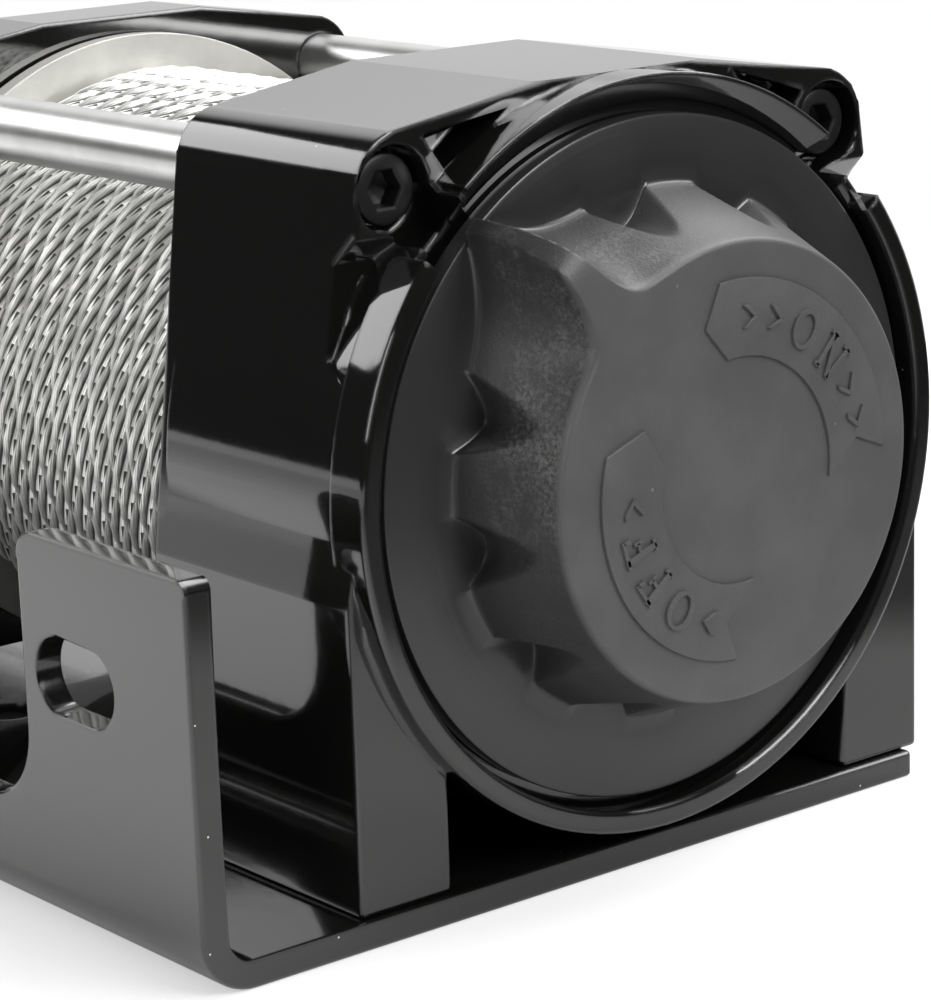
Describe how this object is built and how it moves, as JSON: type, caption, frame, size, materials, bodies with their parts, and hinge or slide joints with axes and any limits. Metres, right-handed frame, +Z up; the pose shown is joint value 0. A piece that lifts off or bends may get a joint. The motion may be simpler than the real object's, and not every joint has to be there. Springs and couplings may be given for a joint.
{
  "type": "electric recovery winch",
  "caption": "Electric winch with wire rope on a drum between two castings, planetary gearbox, free-spool clutch knob, motor and a bent steel mounting plate with fairlead slots.",
  "frame": {"origin": "centre of the four base holes, on the underside of the mounting plate", "axes": "+X along the drum axis towards the clutch knob, +Y away from the fairlead wall, +Z up"},
  "size_m": [0.3243, 0.138, 0.1195],
  "materials": {
    "plate_coat": "glossy black powder coat",
    "casting_coat": "glossy black powder coat on a casting",
    "motor_coat": "black paint",
    "knob_plastic": "satin charcoal, fine grain",
    "tie_steel": "zinc plated, drawn",
    "black_screw": "black oxide",
    "plain_screw": "zinc plated",
    "wire_rope": "galvanised wire rope",
    "drum_steel": "zinc plated",
    "gear_steel": "oiled, hardened",
    "bright_pin": "ground",
    "plain_steel": "phosphated",
    "brake_lining": "friction lining",
    "spring_steel": "bright wire",
    "bronze": "sintered bronze",
    "gasket_rubber": "matte",
    "magnet_ferrite": "sintered ferrite",
    "core_steel": "stacked laminations",
    "copper": "enamelled copper",
    "bearing_steel": "ground",
    "holder_board": "phenolic board",
    "carbon": "graphite",
    "insulator_red": "moulded",
    "terminal_brass": "bright"
  },
  "bodies": {
    "frame": {"mounting_plate": "plate_coat", "foot_screws": "plain_screw", "gear_housing": "casting_coat", "gear_case_cover": "plain_steel", "drum_bush_gear_side": "bronze", "main_ring_gear": "gear_steel", "clutch_ring_gear": "gear_steel", "motor_support": "casting_coat", "drum_bush_motor_side": "bronze", "tie_bar_front": "tie_steel", "tie_bar_rear": "tie_steel", "tie_bar_screws": "black_screw", "motor_gasket": "gasket_rubber", "motor_can": "motor_coat", "field_magnets": "magnet_ferrite", "front_bearing": "bearing_steel", "rear_bearing": "bearing_steel", "brush_holder": "holder_board", "carbon_brushes": "carbon", "brush_springs": "spring_steel", "motor_end_cap": "motor_coat", "motor_through_bolts": "plain_screw", "terminal_insulators": "insulator_red", "terminal_studs": "terminal_brass", "terminal_nuts": "terminal_brass"},
    "drum": {"rope_drum": "drum_steel", "rope_core": "wire_rope", "rope_winding": "wire_rope", "rope_clamp_screw": "plain_screw", "output_carrier": "gear_steel", "planet_pins_3": "bright_pin"},
    "middle_stage": {"carrier_2": "gear_steel", "planet_pins_2": "bright_pin"},
    "input_stage": {"carrier_1": "gear_steel", "planet_pins_1": "bright_pin"},
    "drive_line": {"drive_shaft": "bright_pin", "input_sun": "gear_steel", "shaft_coupler": "plain_steel", "brake_hub": "plain_steel", "brake_shoes": "brake_lining", "brake_springs": "spring_steel", "motor_shaft": "bright_pin", "armature_core": "core_steel", "armature_winding": "copper", "commutator": "copper"},
    "clutch_knob": {"clutch_knob": "knob_plastic", "knob_clip": "plain_steel"},
    "clutch_pin": {"clutch_pin": "bright_pin", "clutch_pin_spring": "spring_steel"},
    "planet_3a": {"planet_3a": "gear_steel"},
    "planet_3b": {"planet_3b": "gear_steel"},
    "planet_3c": {"planet_3c": "gear_steel"},
    "planet_2a": {"planet_2a": "gear_steel"},
    "planet_2b": {"planet_2b": "gear_steel"},
    "planet_2c": {"planet_2c": "gear_steel"},
    "planet_1a": {"planet_1a": "gear_steel"},
    "planet_1b": {"planet_1b": "gear_steel"},
    "planet_1c": {"planet_1c": "gear_steel"}
  },
  "joints": [
    {"name": "drum_spin", "type": "hinge", "parent": "frame", "child": "drum", "pos_m": [0, 0, 0.0605], "axis": [1, 0, 0], "continuous": true},
    {"name": "middle_stage_spin", "type": "hinge", "parent": "frame", "child": "middle_stage", "pos_m": [0.0619, 0, 0.0605], "axis": [1, 0, 0], "continuous": true},
    {"name": "input_stage_spin", "type": "hinge", "parent": "frame", "child": "input_stage", "pos_m": [0.0718, 0, 0.0605], "axis": [1, 0, 0], "continuous": true},
    {"name": "drive_spin", "type": "hinge", "parent": "frame", "child": "drive_line", "pos_m": [-0.12, 0, 0.0605], "axis": [1, 0, 0], "continuous": true},
    {"name": "knob_turn", "type": "hinge", "parent": "frame", "child": "clutch_knob", "pos_m": [0.0903, 0, 0.0605], "axis": [1, 0, 0], "range_deg": [-87, 0]},
    {"name": "clutch_pin_slide", "type": "slide", "parent": "frame", "child": "clutch_pin", "axis": [1, 0, 0], "range_m": [0, 0.0035]},
    {"name": "planet_3a_spin", "type": "hinge", "parent": "drum", "child": "planet_3a", "pos_m": [0.05735, 0.024, 0.0605], "axis": [1, 0, 0], "continuous": true},
    {"name": "planet_3b_spin", "type": "hinge", "parent": "drum", "child": "planet_3b", "pos_m": [0.05735, -0.012, 0.08128], "axis": [1, 0, 0], "continuous": true},
    {"name": "planet_3c_spin", "type": "hinge", "parent": "drum", "child": "planet_3c", "pos_m": [0.05735, -0.012, 0.03972], "axis": [1, 0, 0], "continuous": true},
    {"name": "planet_2a_spin", "type": "hinge", "parent": "middle_stage", "child": "planet_2a", "pos_m": [0.06825, 0.024, 0.0605], "axis": [1, 0, 0], "continuous": true},
    {"name": "planet_2b_spin", "type": "hinge", "parent": "middle_stage", "child": "planet_2b", "pos_m": [0.06825, -0.012, 0.08128], "axis": [1, 0, 0], "continuous": true},
    {"name": "planet_2c_spin", "type": "hinge", "parent": "middle_stage", "child": "planet_2c", "pos_m": [0.06825, -0.012, 0.03972], "axis": [1, 0, 0], "continuous": true},
    {"name": "planet_1a_spin", "type": "hinge", "parent": "input_stage", "child": "planet_1a", "pos_m": [0.0768, 0.024, 0.0605], "axis": [1, 0, 0], "continuous": true},
    {"name": "planet_1b_spin", "type": "hinge", "parent": "input_stage", "child": "planet_1b", "pos_m": [0.0768, -0.012, 0.08128], "axis": [1, 0, 0], "continuous": true},
    {"name": "planet_1c_spin", "type": "hinge", "parent": "input_stage", "child": "planet_1c", "pos_m": [0.0768, -0.012, 0.03972], "axis": [1, 0, 0], "continuous": true}
  ],
  "couplings": [
    {"joint": "middle_stage_spin", "follows": "drum_spin", "ratio": 5},
    {"joint": "input_stage_spin", "follows": "drum_spin", "ratio": 25},
    {"joint": "drive_spin", "follows": "drum_spin", "ratio": 125},
    {"joint": "clutch_pin_slide", "follows": "knob_turn", "m_per_rad": -0.002305},
    {"joint": "planet_3a_spin", "follows": "drum_spin", "ratio": -2.6667},
    {"joint": "planet_3b_spin", "follows": "drum_spin", "ratio": -2.6667},
    {"joint": "planet_3c_spin", "follows": "drum_spin", "ratio": -2.6667},
    {"joint": "planet_2a_spin", "follows": "drum_spin", "ratio": -13.333},
    {"joint": "planet_2b_spin", "follows": "drum_spin", "ratio": -13.333},
    {"joint": "planet_2c_spin", "follows": "drum_spin", "ratio": -13.333},
    {"joint": "planet_1a_spin", "follows": "drum_spin", "ratio": -66.667},
    {"joint": "planet_1b_spin", "follows": "drum_spin", "ratio": -66.667},
    {"joint": "planet_1c_spin", "follows": "drum_spin", "ratio": -66.667}
  ]
}
